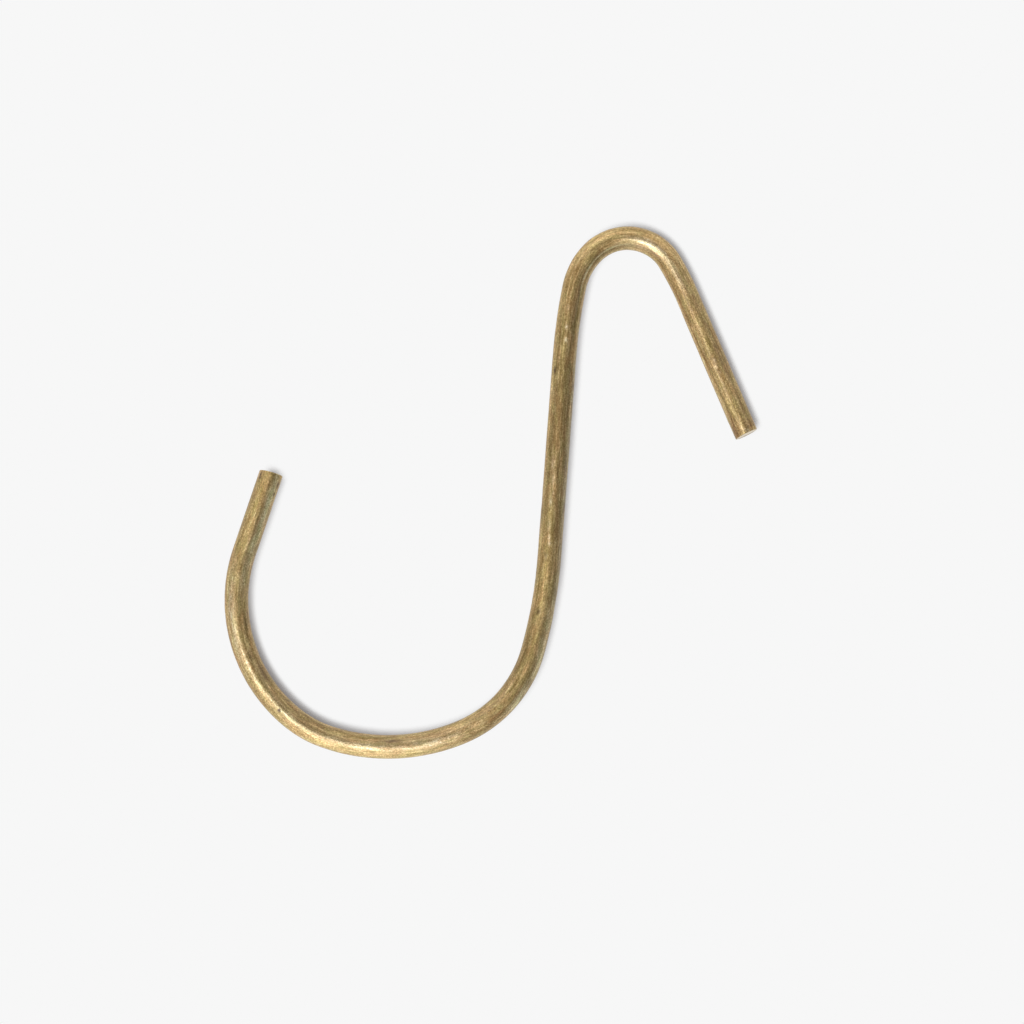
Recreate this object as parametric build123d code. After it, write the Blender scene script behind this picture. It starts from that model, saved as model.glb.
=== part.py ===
from build123d import *
import os

# A hanging hook bent cold from one length of round brass wire, lying flat as it rests on a table.
# A wide J bend at one end carries the load, a tight crook at the other goes over a rail, and the
# straight shank joins them. All bends lie in one plane, so the wire touches the table all along.
# Frame, in millimetres: +Y runs up the shank from the J to the crook, +X from the J towards the
# crook's leg, +Z up off the table. The origin is under the middle of the hook, on the table.

# The stock
wire_diameter = 3.0

# Straight runs, each measured along the wire's centreline
tip_run = 10.4
shank_run = 25.5
leg_run = 18.7

# The J, from its tip round to the shank. Each bend has the radius of its inside face, as a
# former would give it, and the angle in degrees that the wire turns there.
front_inside_radius = 17.5
front_turn_deg = 69.0
toe_inside_radius = 13.0
toe_turn_deg = 22.0
base_inside_radius = 22.5
base_turn_deg = 40.5
heel_inside_radius = 14.0
heel_turn_deg = 51.5
rise_inside_radius = 58.5
rise_turn_deg = 11.5

# The crook, from the shank over to the leg, bent the other way
neck_inside_radius = 65.5
neck_turn_deg = 7.5
shoulder_inside_radius = 7.0
shoulder_turn_deg = 32.5
crown_inside_radius = 4.7
crown_turn_deg = 105.0
brow_inside_radius = 36.5
brow_turn_deg = 7.5

# Both ends were sheared a little out of square. Skew is a cut's turn seen from above, and lean is
# its slope through the wire's thickness, in degrees. The rims are worn to a small radius.
tip_cut_skew_deg = 3.3
leg_cut_skew_deg = 3.3
cut_lean_deg = 7.0
rim_radius = 0.12

wire_radius = wire_diameter / 2
spare_stock = wire_diameter
shear_size = 4 * wire_diameter
rim_share = 0.4

j_bends = [
    (front_inside_radius, front_turn_deg),
    (toe_inside_radius, toe_turn_deg),
    (base_inside_radius, base_turn_deg),
    (heel_inside_radius, heel_turn_deg),
    (rise_inside_radius, rise_turn_deg),
]
crook_bends = [
    (neck_inside_radius, neck_turn_deg),
    (shoulder_inside_radius, shoulder_turn_deg),
    (crown_inside_radius, crown_turn_deg),
    (brow_inside_radius, brow_turn_deg),
]


def straight(path, length):
    """Carries the path on by a straight run in the direction that it already has."""
    start = path[-1] @ 1
    path.append(Line(start, start + (path[-1] % 1) * length))


def bend(path, inside_radius, turn):
    """Carries the path on by one arc round a former. A positive turn is to the left."""
    path.append(JernArc(path[-1] @ 1, path[-1] % 1, inside_radius + wire_radius, turn))


def centreline():
    """The wire's centreline from the J's tip to the leg's end, with spare stock past both."""
    tip_heading = 90 - sum(turn for _, turn in j_bends)
    first_run = Vector(spare_stock + tip_run, 0).rotate(Axis.Z, tip_heading)
    path = [Line((0, 0), first_run)]
    for inside_radius, turn in j_bends:
        bend(path, inside_radius, turn)
    straight(path, shank_run)
    for inside_radius, turn in crook_bends:
        bend(path, inside_radius, -turn)
    straight(path, leg_run + spare_stock)
    return path


def shear(wire, point, outward, skew, lean):
    """Cuts the wire off at a point on its centreline, on a plane tipped by skew and by lean."""
    across = Axis(origin=(0, 0, 0), direction=outward.cross(Vector(0, 0, 1)))
    normal = outward.rotate(across, lean).rotate(Axis.Z, skew)
    beyond = (Align.CENTER, Align.CENTER, Align.MIN)
    off_cut = Plane(origin=point, z_dir=normal) * Box(shear_size, shear_size, shear_size, align=beyond)
    return wire - off_cut


def break_rim(wire, point):
    """Rounds the rim of the cut face that lies at a point."""
    cut_face = wire.faces().sort_by_distance(point)[0]
    return fillet(cut_face.edges(), min(rim_radius, rim_share * wire_radius))


def make_hook():
    """The whole hook as one solid: the round section carried along the centreline, then cut."""
    path = centreline()
    tip_outward = -(path[0] % 0)
    leg_outward = path[-1] % 1
    tip_point = path[0] @ 0 - tip_outward * spare_stock
    leg_point = path[-1] @ 1 - leg_outward * spare_stock
    section = Plane(origin=path[0] @ 0, z_dir=path[0] % 0) * Circle(wire_radius)
    hook = sweep(section, path=Wire(path))
    hook = shear(hook, tip_point, tip_outward, tip_cut_skew_deg, -cut_lean_deg)
    hook = shear(hook, leg_point, leg_outward, leg_cut_skew_deg, cut_lean_deg)
    hook = break_rim(hook, tip_point)
    hook = break_rim(hook, leg_point)
    box = hook.bounding_box()
    return Pos(-box.center().X, -box.center().Y, -box.min.Z) * hook


os.makedirs("parts", exist_ok=True)
wire_hook = make_hook()
wire_hook.label = "wire_hook"
export_step(wire_hook, "parts/wire_hook.step")
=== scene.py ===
import math

import bpy
import numpy as np
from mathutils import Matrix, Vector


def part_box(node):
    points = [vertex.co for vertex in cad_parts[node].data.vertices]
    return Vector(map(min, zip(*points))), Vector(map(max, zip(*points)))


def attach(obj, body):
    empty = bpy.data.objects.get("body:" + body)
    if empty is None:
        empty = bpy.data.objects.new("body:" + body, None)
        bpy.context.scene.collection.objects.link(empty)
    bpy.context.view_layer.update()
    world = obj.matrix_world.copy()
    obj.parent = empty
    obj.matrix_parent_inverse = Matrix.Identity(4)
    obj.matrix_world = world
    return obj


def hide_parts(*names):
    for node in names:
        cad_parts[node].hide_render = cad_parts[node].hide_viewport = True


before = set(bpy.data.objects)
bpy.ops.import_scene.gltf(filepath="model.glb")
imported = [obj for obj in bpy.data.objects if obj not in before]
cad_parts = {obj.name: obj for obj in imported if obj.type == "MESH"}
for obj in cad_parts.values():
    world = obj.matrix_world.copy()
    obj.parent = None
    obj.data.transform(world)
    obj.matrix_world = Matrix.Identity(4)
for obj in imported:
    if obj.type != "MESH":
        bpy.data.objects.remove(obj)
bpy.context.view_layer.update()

# The wire hook. One length of 3 mm round brass wire, drawn through a die, bent cold to a wide J and
# a tight crook, and nipped off at both ends. It is a tube carried along the bends, with the faint
# waves, grain and bruises of worked wire, and it takes the place of the model's own wire.
hook_low, hook_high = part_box("wire_hook")
wire_radius = (hook_high.z - hook_low.z) / 2
tip_run = 0.0104
shank_run = 0.0255
leg_run = 0.0187
front_bend = (0.0175, 69.0)
toe_bend = (0.0130, 22.0)
base_bend = (0.0225, 40.5)
heel_bend = (0.0140, 51.5)
rise_bend = (0.0585, 11.5)
neck_bend = (0.0655, -7.5)
shoulder_bend = (0.0070, -32.5)
crown_bend = (0.0047, -105.0)
brow_bend = (0.0365, -7.5)
cut_skew = math.radians(3.3)
cut_lean = math.radians(7.0)
rim_radius = 0.00012


def bend_run(bend):
    """A bend's length along the centreline and its turn. The length is the turn times the radius of
    the bend's inside face plus the wire's own radius. A turn to the right is negative."""
    inside_radius, turn_deg = bend
    turn = math.radians(turn_deg)
    return abs(turn) * (inside_radius + wire_radius), turn


def bending_schedule():
    """The distances along the wire at which one run ends and the next begins, and the wire's
    heading at each. The shank heads along +Y, so the tip starts at a right angle less the J's turns."""
    j_runs = [bend_run(bend) for bend in (front_bend, toe_bend, base_bend, heel_bend, rise_bend)]
    crook_runs = [bend_run(bend) for bend in (neck_bend, shoulder_bend, crown_bend, brow_bend)]
    runs = [(tip_run, 0.0)] + j_runs + [(shank_run, 0.0)] + crook_runs + [(leg_run, 0.0)]
    lengths, turns = np.array(runs).T
    start_heading = math.pi / 2 - sum(turn for _, turn in j_runs)
    marks = np.concatenate([[0.0], np.cumsum(lengths)])
    headings = start_heading + np.concatenate([[0.0], np.cumsum(turns)])
    return marks, headings


run_marks, run_headings = bending_schedule()
wire_length = run_marks[-1]


def centreline(distance):
    """Where the centreline lies at each distance from the tip's cut, and its heading there. The
    heading turns evenly inside each bend. The line is walked in short steps, each the chord of its
    own small arc along the middle heading, and both ends run on straight."""
    step_count = 16000
    spare = 2 * wire_radius
    walk = np.linspace(-spare, wire_length + spare, step_count + 1)
    heading = np.interp(walk, run_marks, run_headings)
    middle = (heading[1:] + heading[:-1]) / 2
    chord = np.diff(walk) * np.sinc(np.diff(heading) / (2 * math.pi))
    x = np.concatenate([[0.0], np.cumsum(chord * np.cos(middle))])
    y = np.concatenate([[0.0], np.cumsum(chord * np.sin(middle))])
    return np.interp(distance, walk, x), np.interp(distance, walk, y), np.interp(distance, walk, heading)


def wire_profile():
    """The tube's rings from the middle of the tip's cut face to the middle of the leg's, each with
    its distance along the wire, its radius and whether it is on a cut face. A cut face grows from
    its middle by even steps to a power below one, so that its rings lie closer towards its edge,
    and a quarter round turns it into the side."""
    side_rings = 1176
    face_rings = 9
    rim_rings = 6
    edge_crowding = 0.8
    face = np.linspace(0, 1, face_rings + 1)[1:] ** edge_crowding * (wire_radius - rim_radius)
    corner = np.linspace(0, math.pi / 2, rim_rings + 1)[1:]
    radius_at_cut = np.concatenate([face, wire_radius - rim_radius * (1 - np.sin(corner))])
    inset_at_cut = np.concatenate([np.zeros(face_rings), rim_radius * (1 - np.cos(corner))])
    side = np.linspace(rim_radius, wire_length - rim_radius, side_rings)[1:-1]
    distance = np.concatenate([inset_at_cut, side, wire_length - inset_at_cut[::-1]])
    radius = np.concatenate([radius_at_cut, np.full(len(side), wire_radius), radius_at_cut[::-1]])
    on_face = np.concatenate([np.ones(face_rings), np.zeros(2 * rim_rings + len(side)), np.ones(face_rings)])
    return distance, radius, on_face


def waves(rng, count, shortest, longest, along, around):
    """A smooth random relief of about unit size over the wire: a sum of plane waves on its unrolled
    surface, each with a random length, direction and phase, and a whole number of turns around."""
    length = shortest * (longest / shortest) ** rng.random(count)
    direction = rng.random(count) * 2 * math.pi
    phase = rng.random(count) * 2 * math.pi
    pace_along = 2 * math.pi / length * np.cos(direction)
    turns_around = np.round(2 * math.pi / length * np.sin(direction) * wire_radius)
    total = np.zeros(np.broadcast(along, around).shape)
    for pace, turns, start in zip(pace_along, turns_around, phase):
        total += np.sin(pace * along + turns * around + start)
    return total / math.sqrt(count / 2)


def patch(along, around, distance_mm, angle_deg, length_mm, width_mm):
    """A soft spot on the wire's side, 1 in its middle and falling off as a bell along and around."""
    off_along = (along - distance_mm / 1000) / (length_mm / 2000)
    turn = (around - math.radians(angle_deg) + math.pi) % (2 * math.pi) - math.pi
    off_around = turn * wire_radius / (width_mm / 2000)
    return np.exp(-(off_along ** 2) - off_around ** 2)


def spots(along, around, marks):
    """Several soft spots together, each with its strength as its last value."""
    total = np.zeros(np.broadcast(along, around).shape)
    for distance_mm, angle_deg, length_mm, width_mm, strength in marks:
        total += strength * patch(along, around, distance_mm, angle_deg, length_mm, width_mm)
    return total


def grid_faces(rings, around_count):
    """Quads between neighbouring rings and fans at both poles, wound so that they face outwards.
    Vertex 0 is the first pole, then the rings in order, then the last pole."""
    ring = np.arange(rings - 1)[:, None] * around_count
    step = np.arange(around_count)[None, :]
    following = (step + 1) % around_count
    beyond = ring + around_count
    quads = np.stack([ring + step, ring + following, beyond + following, beyond + step], -1)
    first = np.stack([np.zeros(around_count, int), following[0] + 1, step[0] + 1], -1)
    start_last = 1 + (rings - 1) * around_count
    pole = start_last + around_count
    last = np.stack([np.full(around_count, pole), start_last + step[0], start_last + following[0]], -1)
    return (quads.reshape(-1, 4) + 1).tolist() + first.tolist() + last.tolist()


# Marks on the wire's side, each a distance from the tip's cut in mm, an angle in degrees (0 is the
# left side on the way from the tip, 90 the top), a length and a width in mm, and a strength.
# A dent's strength is its depth in mm.
# Brown marks are partly real tarnish and partly painted shade, which darkens rims on the side away from the
# windows and dims highlights.
brown_and_shade_marks = [
    (5, 72, 16, 0.9, 0.75),
    (17, 100, 14, 0.9, 0.50),
    (20, 24, 24, 1.1, 0.45),
    (33, 42, 12, 0.8, 0.45),
    (33, 68, 14, 1.4, 0.48),
    (33, 106, 16, 1.0, 0.35),
    (50, 64, 16, 0.95, 0.80),
    (58, 122, 14, 1.0, 0.25),
    (66, 52, 12, 2.4, 0.30),
    (68, 95, 9, 2.4, 0.08),
    (83, 149, 12, 1.0, 0.30),
    (84, 82, 12, 1.0, 0.40),
    (101, 84, 26, 1.8, 0.55),
    (114, 109, 9, 1.3, 0.75),
    (122, 48, 6, 0.4, 0.30),
    (122, 134, 6, 1.2, 0.40),
    (128, 127, 9, 0.8, 1.40),
    (134, 67, 7, 0.8, 0.30),
    (134, 104, 6, 0.8, 0.35),
    (147, 24, 18, 1.0, 0.40),
    (147, 60, 16, 0.9, 0.75),
    (148, 99, 16, 0.9, 0.55),
    (148, 128, 18, 1.1, 0.40),
    (154.4, 148, 3.0, 1.2, 0.70),
    (155.2, 50, 1.8, 2.2, 0.35),
    (155.6, 153, 1.2, 1.5, 0.90),
]
# Olive marks are partly real tarnish and partly painted shade along the rims on the side away from the
# windows.
olive_and_shade_marks = [
    (6, 30, 12, 0.9, 0.30),
    (90, 158, 54, 1.7, 1.00),
]
# Pale marks are partly real pale green tarnish streaks and partly painted highlight, which whitens the
# highlight on the J's lower left and the rims on the side towards the windows.
pale_and_highlight_marks = [
    (4, 52, 9, 0.75, 0.90),
    (6, 108, 14, 2.2, 0.05),
    (11, 56, 9, 1.0, 0.50),
    (25.5, 97, 6, 0.25, 0.35),
    (30.6, 97, 7, 0.24, 0.40),
    (35.6, 93, 8, 0.25, 0.40),
    (36, 152, 22, 1.2, 0.16),
    (50, 150, 16, 1.4, 0.14),
    (63.6, 136, 3.5, 0.9, 0.80),
    (70, 136, 11, 1.0, 0.50),
    (116, 134, 8, 0.8, 0.20),
    (118.1, 126, 4, 0.26, 1.10),
    (122, 125, 6, 0.18, 0.80),
    (128, 152, 8, 1.0, 0.18),
    (147, 154, 20, 1.0, 0.20),
]
# Golden marks are partly real golden wear and partly painted light, which lightens the rims on the side
# towards the windows and the edges of the highlights.
golden_and_lit_marks = [
    (6, 109, 16, 1.2, 1.00),
    (18, 126, 15, 2.0, 0.75),
    (19, 60, 16, 1.0, 0.30),
    (33.2, 81, 1.0, 0.45, 0.90),
    (34, 58, 14, 0.8, 0.30),
    (36, 151, 20, 1.2, 0.80),
    (48, 152, 16, 1.4, 1.00),
    (49, 78, 16, 0.6, 0.70),
    (82, 67, 14, 1.6, 0.75),
    (102, 32, 26, 0.8, 0.45),
    (112, 64, 12, 1.5, 0.15),
    (116.5, 46, 7, 1.2, 0.40),
    (122, 32, 8, 1.0, 0.55),
    (122, 66, 8, 0.7, 0.30),
    (128.5, 48, 7, 1.6, 0.75),
    (129, 150, 12, 1.0, 0.90),
    (132, 76, 9, 0.8, 0.75),
    (134, 122, 12, 2.0, 0.10),
    (135, 42, 8, 0.9, 0.30),
    (146, 156, 22, 1.1, 1.00),
    (147, 78, 16, 1.0, 1.00),
]
# Bright marks are partly real bright flecks and wear and partly painted highlight, which carries the
# highlights on the J, the crown and the facet by the leg's cut.
bright_and_highlight_marks = [
    (0.7, 153, 0.5, 0.30, 0.80),
    (19, 118, 13, 1.0, 0.85),
    (23.4, 96, 0.6, 0.35, 0.90),
    (24.6, 101, 0.5, 0.35, 0.90),
    (33, 90, 14, 0.8, 0.35),
    (48, 93, 16, 1.0, 0.90),
    (82.0, 75, 0.7, 0.35, 0.80),
    (83.6, 85, 0.5, 0.40, 0.90),
    (84.3, 80, 0.6, 0.30, 1.00),
    (85.8, 76, 1.6, 0.40, 0.50),
    (88.9, 76, 1.0, 0.35, 1.00),
    (89.9, 84, 0.5, 0.30, 0.80),
    (91.6, 80, 1.6, 0.35, 0.60),
    (93.6, 74, 1.8, 0.40, 0.50),
    (109.2, 88, 0.6, 0.40, 1.20),
    (110.8, 85, 0.5, 0.35, 1.20),
    (113.3, 78, 0.6, 0.30, 0.70),
    (128.8, 96, 5.5, 0.9, 1.30),
    (134, 92, 6, 0.7, 0.50),
    (145.8, 93, 0.6, 0.35, 0.80),
    (146.6, 98, 0.5, 0.40, 1.00),
    (147.4, 90, 0.4, 0.30, 0.70),
    (155.05, 103, 0.45, 0.22, 0.30),
    (155.35, 91, 0.40, 0.28, 0.60),
    (155.65, 79, 0.40, 0.32, 1.10),
]
red_marks = [
    (20, 153, 11, 0.35, 1.10),
    (61, 110, 9, 0.25, 0.60),
    (134, 150, 10, 0.40, 0.50),
    (141, 143, 20, 0.35, 1.00),
    (154.6, 148, 2.4, 1.0, 0.60),
    (155.1, 50, 1.4, 1.6, 0.45),
    (155.6, 153, 1.0, 1.4, 0.50),
]
dark_marks = [
    (0.62, 144, 0.55, 0.20, 1.40),
    (1.0, 138, 0.40, 0.22, 1.10),
    (1.2, 28, 0.9, 0.50, 0.90),
    (2.4, 34, 0.6, 0.45, 0.90),
    (19.7, 46, 2.4, 0.50, 0.65),
    (24.0, 74, 1.2, 0.40, 0.50),
    (26.4, 45, 4.0, 0.50, 0.60),
    (27.1, 60, 2.4, 0.60, 0.50),
    (31.6, 28, 0.6, 0.50, 0.60),
    (31.7, 102, 0.28, 0.40, 2.00),
    (46.8, 57, 2.2, 0.60, 0.60),
    (64.3, 150, 1.0, 0.50, 0.55),
    (66.0, 141, 1.5, 0.50, 0.45),
    (74.9, 73, 0.75, 0.50, 0.90),
    (77.5, 143, 2.4, 0.70, 0.60),
    (88.4, 162, 0.9, 0.50, 0.90),
    (93.6, 139, 2.8, 0.45, 0.60),
    (103.4, 157, 0.9, 0.60, 0.60),
    (105.3, 42, 0.9, 0.36, 1.10),
    (154.8, 152, 0.7, 0.35, 0.60),
    (155.13, 68, 0.26, 0.22, 0.90),
    (155.19, 53, 0.26, 0.24, 0.80),
    (155.27, 30, 0.30, 0.40, 0.80),
    (155.4, 139, 0.5, 0.35, 0.50),
]
dents = [
    (28.4, 101, 1.8, 0.8, 0.008),
    (30.4, 106, 1.2, 0.7, 0.008),
    (31.7, 102, 0.34, 0.44, 0.034),
    (33.6, 97, 2.0, 0.8, 0.006),
    (88.0, 140, 1.2, 0.7, 0.012),
    (118.5, 95, 2.6, 0.9, 0.008),
    (155.7, 140, 0.9, 0.7, 0.020),
    (155.9, 82, 0.8, 0.7, 0.050),
]


def make_wire():
    """The whole wire as one closed mesh. A point lies at its ring's distance, pushed along to the
    skewed and leaning plane of the nearer cut, and out from the centreline by its radius."""
    around_count = 78
    sway_depth = 0.000012
    swell_depth = 0.000005
    grain_depth = 0.000003
    worn_depth = 0.000006
    cut_reach = 2 * wire_radius
    cut_shade_start = 0.15
    cut_shade_blend = 0.3
    cut_shade_strength = 0.62
    rng = np.random.default_rng(7)
    distance, radius, on_face = wire_profile()
    distance = np.concatenate([[0.0], distance, [wire_length]])[:, None]
    radius = np.concatenate([[0.0], radius, [0.0]])[:, None]
    on_face = np.concatenate([[1.0], on_face, [1.0]])[:, None]
    around = np.arange(around_count)[None, :] * 2 * math.pi / around_count

    sway = sway_depth * waves(rng, 24, 0.006, 0.03, distance, around)
    swell = swell_depth * waves(rng, 60, 0.0016, 0.006, distance, around)
    grain = grain_depth * waves(rng, 160, 0.0005, 0.0016, distance, around)
    dented = spots(distance, around, dents) / 1000
    relief = (np.minimum(sway + swell + grain - worn_depth, 0) - dented) * radius / wire_radius

    def place(out):
        """The points with their distance from the centreline given, in the wire's own plane."""
        left = out * np.cos(around)
        up = out * np.sin(around)
        to_cut = np.minimum(distance, wire_length - distance)
        fade = np.clip(1 - to_cut / cut_reach, 0, 1) ** 2
        slope = left * math.tan(cut_skew) + up * math.tan(cut_lean) / math.cos(cut_skew)
        pushed = distance - slope * fade
        x, y, heading = centreline(pushed)
        return np.stack([x - left * np.sin(heading), y + left * np.cos(heading), up], -1), pushed, left, up

    ideal = place(radius + np.zeros_like(around))[0]
    points, pushed, left, up = place(radius + relief)
    box_middle = np.array((hook_low + hook_high) / 2)
    points = points + box_middle - (ideal.min((0, 1)) + ideal.max((0, 1))) / 2

    def per_vertex(values):
        """A value for each point of the grid, with one value kept at each pole."""
        values = np.broadcast_to(values.reshape(values.shape[0], -1, *values.shape[2:]),
                                 (len(distance), around_count, *values.shape[2:]))
        return np.concatenate([values[0, :1], values[1:-1].reshape(-1, *values.shape[2:]), values[-1, :1]])

    mesh = bpy.data.meshes.new("wire_hook_brass")
    mesh.from_pydata(per_vertex(points).tolist(), [], grid_faces(len(distance) - 2, around_count))
    mesh.shade_smooth()
    straightened = np.stack([pushed, left, up], -1)
    # The lower part of the leg's cut carries painted shade, dark along its lower edge by the table.
    # It starts at a share of the wire's radius below the middle and grows over another share.
    cut_shade_zone = np.clip((-up / wire_radius - cut_shade_start) / cut_shade_blend, 0, 1)
    at_leg_cut = distance > wire_length - 1.5 * rim_radius
    cut_lower_shade = cut_shade_strength * cut_shade_zone * at_leg_cut
    # The stains and wear carry painted shade and painted highlights too.
    stain_and_shade_layers = [spots(distance, around, marks) for marks in (brown_and_shade_marks, olive_and_shade_marks, pale_and_highlight_marks)]
    wear_and_light_layers = [spots(distance, around, marks) for marks in (golden_and_lit_marks, bright_and_highlight_marks, red_marks)]
    dark_spots_and_cut_shade = spots(distance, around, dark_marks) * (on_face < 0.5) + cut_lower_shade
    ends = [dark_spots_and_cut_shade, on_face + np.zeros_like(around), np.zeros_like(dark_spots_and_cut_shade)]
    layers = {"straightened": straightened, "stains_shade_and_highlight": np.stack(stain_and_shade_layers, -1),
              "wear_light_and_highlight": np.stack(wear_and_light_layers, -1), "ends": np.stack(ends, -1)}
    for name, values in layers.items():
        attribute = mesh.attributes.new(name, "FLOAT_VECTOR", "POINT")
        attribute.data.foreach_set("vector", per_vertex(values).astype(np.float32).ravel())
    wire = bpy.data.objects.new("brass_wire", mesh)
    bpy.context.scene.collection.objects.link(wire)
    return wire


def add_node(tree, kind, inputs=(), **settings):
    """A new shader node with its settings, and its inputs by name or number, each given as a value
    or as the socket that feeds it."""
    node = tree.nodes.new(kind)
    for name, value in settings.items():
        setattr(node, name, value)
    for name, value in dict(inputs).items():
        if isinstance(value, bpy.types.NodeSocket):
            tree.links.new(value, node.inputs[name])
        else:
            node.inputs[name].default_value = value
    return node


def cloud(tree, place, size, detail, stretch, roughness=0.55):
    """Soft random values about one half, with features of the given size in metres, drawn out
    along the wire by the stretch."""
    scaled = add_node(tree, "ShaderNodeVectorMath", {0: place, 1: (1 / stretch, 1, 1)}, operation="MULTIPLY")
    noise = add_node(tree, "ShaderNodeTexNoise", {
        "Vector": scaled.outputs[0], "Scale": 1 / size, "Detail": detail, "Roughness": roughness})
    return noise.outputs[0]


def graded(tree, value, low, high, start=0.0, end=1.0):
    """The value carried smoothly from start at low to end at high."""
    ramp = add_node(tree, "ShaderNodeMapRange", {
        "Value": value, "From Min": low, "From Max": high, "To Min": start, "To Max": end},
        interpolation_type="SMOOTHSTEP")
    return ramp.outputs[0]


def combined(tree, operation, first, second):
    """Two values put together by a sum, a product or another operation, kept between 0 and 1."""
    node = add_node(tree, "ShaderNodeMath", {0: first, 1: second}, operation=operation, use_clamp=True)
    return node.outputs[0]


def tinted(tree, amount, under, over):
    """The colour under, turned to the colour over by the amount."""
    mix = add_node(tree, "ShaderNodeMix", {0: amount, 6: under, 7: over}, data_type="RGBA")
    return mix.outputs[2]


def shaded(tree, colour, shade):
    """The colour times a shade, channel by channel, and never beyond clean pale metal."""
    clean_pale_metal = (0.95, 0.84, 0.60)
    product = add_node(tree, "ShaderNodeVectorMath", {0: colour, 1: shade}, operation="MULTIPLY")
    capped = add_node(tree, "ShaderNodeVectorMath", {
        0: product.outputs[0], 1: clean_pale_metal}, operation="MINIMUM")
    return capped.outputs[0]


def aged_brass():
    """Brass wire under a thin uneven tarnish, with painted light and shade. A mid brass has golden and
    dull blotches and broad brown ones, and where the mesh carries marks it turns golden, brown, olive,
    pale, red or bright. The golden, pale and bright marks are partly painted light and highlight, the
    brown and olive ones partly painted shade. Over that lie shades drawn out along the wire, as a
    tinge, streaks, a mottle and flecks, then the dark marks with painted shade on the lower part of the
    leg's cut, and new brass on the cut faces, paler than brass as a painted highlight. Bright marks are
    smoother."""
    mid_brass = (0.45, 0.313, 0.125, 1)
    golden_brass_and_light = (0.66, 0.463, 0.182, 1)
    bright_brass_and_highlight = (0.89, 0.705, 0.43, 1)
    dull_brass = (0.345, 0.248, 0.102, 1)
    brown_tarnish_and_shade = (0.22, 0.135, 0.045, 1)
    olive_tarnish_and_shade = (0.25, 0.205, 0.11, 1)
    pale_tarnish_and_highlight = (0.82, 0.755, 0.45, 1)
    red_tarnish = (0.43, 0.235, 0.09, 1)
    dark_pit_and_cut_shade = (0.10, 0.055, 0.022, 1)
    cut_brass_and_highlight = (0.99, 0.91, 0.72, 1)
    ruddy_shade = (0.995, 0.93, 0.91)
    green_shade = (0.985, 1.04, 0.98)
    dark_streak = (0.85, 0.83, 0.75)
    pale_streak = (1.32, 1.34, 1.42)
    dark_mottle = (0.86, 0.83, 0.75)
    pale_mottle = (1.19, 1.23, 1.36)
    dark_fleck = (0.72, 0.70, 0.65)
    pale_fleck = (1.39, 1.45, 1.60)
    bright_and_highlight_share = 0.85
    bump_depth = 0.000016

    material = bpy.data.materials.new("aged_brass_wire")
    material.use_nodes = True
    tree = material.node_tree
    tree.nodes.clear()

    def carried(name):
        """The three values that the mesh carries under a name."""
        vector = add_node(tree, "ShaderNodeAttribute", attribute_name=name).outputs["Vector"]
        return add_node(tree, "ShaderNodeSeparateXYZ", {0: vector}).outputs[:3]

    place = add_node(tree, "ShaderNodeAttribute", attribute_name="straightened").outputs["Vector"]
    brown, olive, pale = carried("stains_shade_and_highlight")
    golden, bright, red = carried("wear_light_and_highlight")
    dark, cut_face, _ = carried("ends")

    broad = cloud(tree, place, 0.0026, detail=2, stretch=4)
    blotch = cloud(tree, place, 0.0009, detail=4, roughness=0.6, stretch=4)
    streak = cloud(tree, place, 0.00026, detail=2, stretch=11)
    mottle = cloud(tree, place, 0.00032, detail=2, roughness=0.6, stretch=4)
    fleck = cloud(tree, place, 0.00016, detail=1, stretch=1.4)
    tinge = cloud(tree, place, 0.0006, detail=1, stretch=3)

    def patchy(amount):
        """A mark's amount, broken up by the blotches and streaks."""
        broken = combined(tree, "MULTIPLY", graded(tree, blotch, 0.32, 0.58, 0.66, 1),
                          graded(tree, streak, 0.34, 0.52, 0.80, 1))
        return combined(tree, "MULTIPLY", amount, broken)

    colour = tinted(tree, graded(tree, blotch, 0.50, 0.66, 0, 0.28), mid_brass, golden_brass_and_light)
    colour = tinted(tree, graded(tree, blotch, 0.50, 0.34, 0, 0.32), colour, dull_brass)
    colour = tinted(tree, graded(tree, broad, 0.50, 0.66, 0, 0.20), colour, brown_tarnish_and_shade)
    # Golden and pale marks paint light and highlights in part, brown and olive marks paint shade in part.
    for amount, tone in ((golden, golden_brass_and_light), (brown, brown_tarnish_and_shade), (olive, olive_tarnish_and_shade),
                         (pale, pale_tarnish_and_highlight), (red, red_tarnish)):
        colour = tinted(tree, patchy(amount), colour, tone)
    # Bright marks paint highlights as well as bright wear.
    colour = tinted(tree, combined(tree, "MULTIPLY", patchy(bright), bright_and_highlight_share), colour, bright_brass_and_highlight)
    for value, low, high, amount, shade in (
            (tinge, 0.50, 0.64, 1.0, ruddy_shade), (tinge, 0.50, 0.36, 1.0, green_shade),
            (streak, 0.51, 0.62, 1.0, dark_streak), (streak, 0.48, 0.37, 1.0, pale_streak),
            (mottle, 0.52, 0.64, 0.9, dark_mottle), (mottle, 0.47, 0.35, 0.9, pale_mottle),
            (fleck, 0.51, 0.66, 1.0, dark_fleck), (fleck, 0.48, 0.32, 1.0, pale_fleck)):
        colour = tinted(tree, graded(tree, value, low, high, 0, amount), colour, shaded(tree, colour, shade))
    # The dark marks, and the painted shade on the lower part of the leg's cut.
    colour = tinted(tree, dark, colour, dark_pit_and_cut_shade)
    # The cut faces are new brass, paler than brass so that they show a painted highlight.
    sheared = graded(tree, mottle, 0.36, 0.62, 0.95, 0.65)
    cut_brass_and_highlight_share = combined(tree, "MULTIPLY", cut_face, combined(tree, "SUBTRACT", sheared, dark))
    colour = tinted(tree, cut_brass_and_highlight_share, colour, cut_brass_and_highlight)

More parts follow.
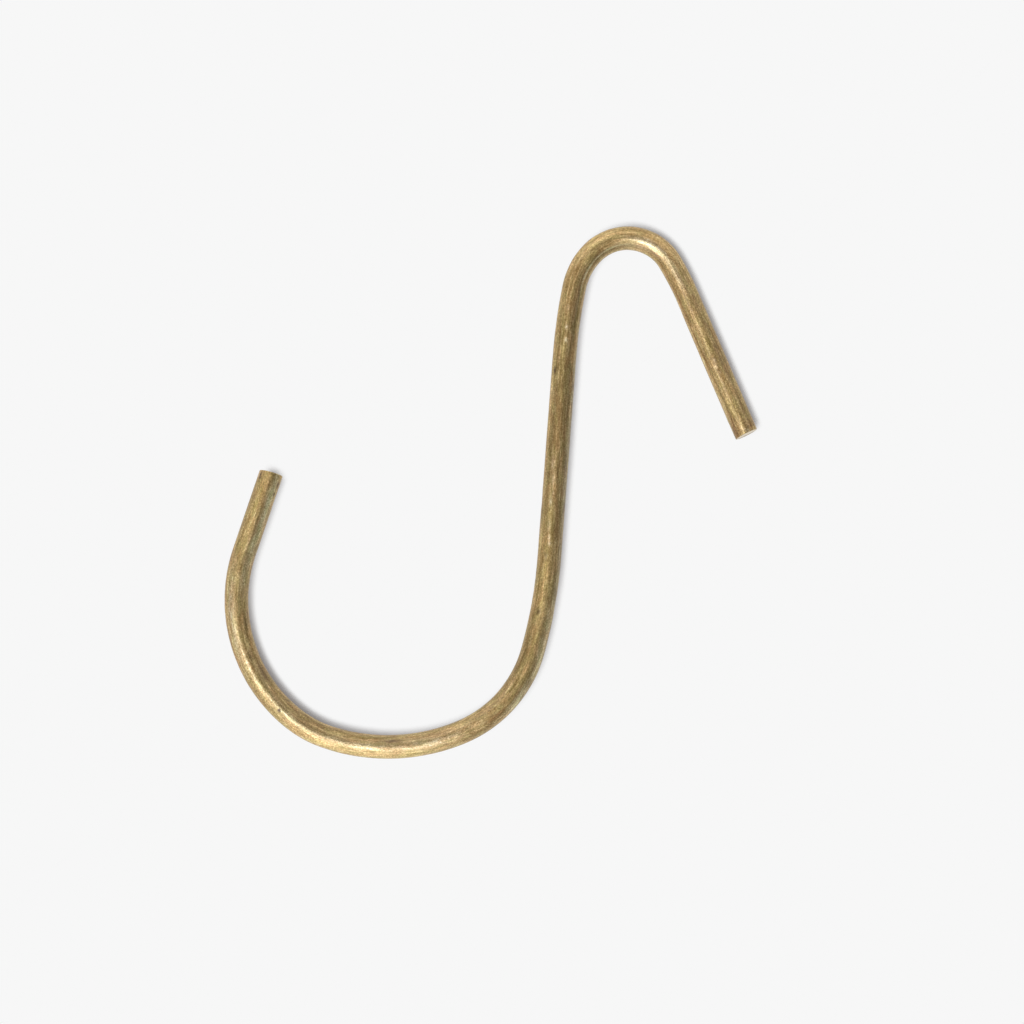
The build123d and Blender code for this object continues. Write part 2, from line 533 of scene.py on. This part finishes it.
    matt = graded(tree, blotch, 0.36, 0.62, 0.50, 0.42)
    roughness = combined(tree, "SUBTRACT", matt, combined(tree, "MULTIPLY", bright, 0.12))
    relief = combined(tree, "MULTIPLY", combined(tree, "ADD", mottle, streak), 0.5)
    height = combined(tree, "SUBTRACT", 1.0, relief)
    smoothed = combined(tree, "SUBTRACT", 1.0, combined(tree, "MULTIPLY", bright, 0.4))
    bump = add_node(tree, "ShaderNodeBump", {"Height": height, "Distance": bump_depth, "Strength": smoothed})

    shader = add_node(tree, "ShaderNodeBsdfPrincipled", {
        "Base Color": colour, "Metallic": 1.0, "Roughness": roughness, "Normal": bump.outputs[0],
        "Specular Tint": (0.66, 0.56, 0.43, 1), "Coat Weight": 0.65, "Coat Roughness": 0.22, "Coat IOR": 1.6})
    add_node(tree, "ShaderNodeOutputMaterial", {"Surface": shader.outputs[0]})
    return material


brass_wire = make_wire()
brass_wire.data.materials.append(aged_brass())
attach(brass_wire, "root")
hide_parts("wire_hook")

# The table top. A plain pale matt surface that the hook lies flat on, far wider than the hook, so
# that low views end in it too. It isn't part of the object. It shows the hook's soft shadow, which is
# tight and falls to the upper right, away from the high window.
table_reach = 1.5
table_white = 0.93
photo_turn = math.radians(4.349)
shadow_azimuth = math.radians(221) + photo_turn
shadow_tilt = math.radians(65)
shadow_reach = 0.0017


def pale_table():
    """A matt white for the light it gives back. Where the camera or a glossy ray sees it, it is an
    even white under the hook's shadow. The shadow is the share of the sky, about a direction that
    leans towards the window, that the hook takes from a point of the table."""
    shadow_tone = (0.225, 0.207, 0.200, 1)
    white_tone = (table_white, table_white, table_white, 1)
    full_shadow = 0.34
    no_shadow = 0.77
    sky_samples = 14
    material = bpy.data.materials.new("pale_table")
    material.use_nodes = True
    tree = material.node_tree
    tree.nodes.clear()
    matt = add_node(tree, "ShaderNodeBsdfDiffuse", {"Color": white_tone})
    lean = math.sin(shadow_tilt)
    towards = add_node(tree, "ShaderNodeCombineXYZ", {
        0: lean * math.cos(shadow_azimuth), 1: lean * math.sin(shadow_azimuth), 2: math.cos(shadow_tilt)})
    open_sky = add_node(tree, "ShaderNodeAmbientOcclusion", {
        "Distance": shadow_reach, "Normal": towards.outputs[0]}, samples=sky_samples).outputs["AO"]
    tone = tinted(tree, graded(tree, open_sky, full_shadow, no_shadow), shadow_tone, white_tone)
    shown = add_node(tree, "ShaderNodeEmission", {"Color": tone})
    rays = add_node(tree, "ShaderNodeLightPath")
    seen = combined(tree, "MAXIMUM", rays.outputs["Is Camera Ray"], rays.outputs["Is Glossy Ray"])
    surface = add_node(tree, "ShaderNodeMixShader", {0: seen, 1: matt.outputs[0], 2: shown.outputs[0]})
    add_node(tree, "ShaderNodeOutputMaterial", {"Surface": surface.outputs[0]})
    return material


def make_table():
    """A flat square under the hook."""
    corners = [(-table_reach, -table_reach, 0), (table_reach, -table_reach, 0),
               (table_reach, table_reach, 0), (-table_reach, table_reach, 0)]
    mesh = bpy.data.meshes.new("table_top")
    mesh.from_pydata(corners, [], [(0, 1, 2, 3)])
    mesh.materials.append(pale_table())
    table = bpy.data.objects.new("table_top", mesh)
    bpy.context.scene.collection.objects.link(table)
    return table


table_top = make_table()

# The light. Five wide soft lights far off, as windows and white walls give round a table, and a
# dim pale room behind them. The brightest is high on the lower left, so shadows fall to the upper right.


def soft_light(name, azimuth_deg, zenith_deg, spread_deg, radiance):
    """A round soft light so far off that it is the same all over the hook. Its direction is given as
    the photograph shows it, with azimuth 0 to the right and 90 up, and its spread is the half angle
    that it fills. Its strength is pi times the squared sine of its spread times its radiance."""
    lamp = bpy.data.lights.new(name, "SUN")
    lamp.angle = math.radians(2 * spread_deg)
    lamp.energy = math.pi * math.sin(math.radians(spread_deg)) ** 2 * radiance
    light = bpy.data.objects.new(name, lamp)
    light.rotation_euler = (0, math.radians(zenith_deg), math.radians(azimuth_deg) + photo_turn)
    bpy.context.scene.collection.objects.link(light)
    return light


soft_light("high_window", 230, 25, 16, 2.75)
soft_light("low_window", 255, 60, 32, 1.65)
soft_light("left_wall", 205, 62, 26, 0.4)
soft_light("side_wall", 120, 63, 29, 1.38)
soft_light("back_wall", 50, 58, 32, 0.6)


def make_room():
    """The world: an even pale light, and plain white where the camera or a glossy ray sees it."""
    room_level = 0.30
    world = bpy.data.worlds.new("pale_room")
    world.use_nodes = True
    tree = world.node_tree
    tree.nodes.clear()
    rays = add_node(tree, "ShaderNodeLightPath")
    level = graded(tree, rays.outputs["Is Camera Ray"], 0, 1, room_level, table_white)
    background = add_node(tree, "ShaderNodeBackground", {"Color": (1, 1, 1, 1), "Strength": level})
    add_node(tree, "ShaderNodeOutputWorld", {"Surface": background.outputs[0]})
    bpy.context.scene.world = world


make_room()

# The camera. A long lens straight above the hook, as the photograph was taken, turned so that the
# shank leans as it does there.
camera_x = 0.002680
camera_y = -0.002373
camera_height = 0.6292
camera_lens = 176.0


def make_camera():
    """The camera, looking straight down from its height above the plane of the wire's centreline."""
    data = bpy.data.cameras.new("photo_camera")
    data.sensor_width = 36.0
    data.lens = camera_lens
    camera = bpy.data.objects.new("photo_camera", data)
    camera.location = (camera_x, camera_y, camera_height + wire_radius)
    camera.rotation_euler = (0, 0, photo_turn)
    bpy.context.scene.collection.objects.link(camera)
    bpy.context.scene.camera = camera


make_camera()
bpy.context.scene.view_settings.view_transform = "Standard"
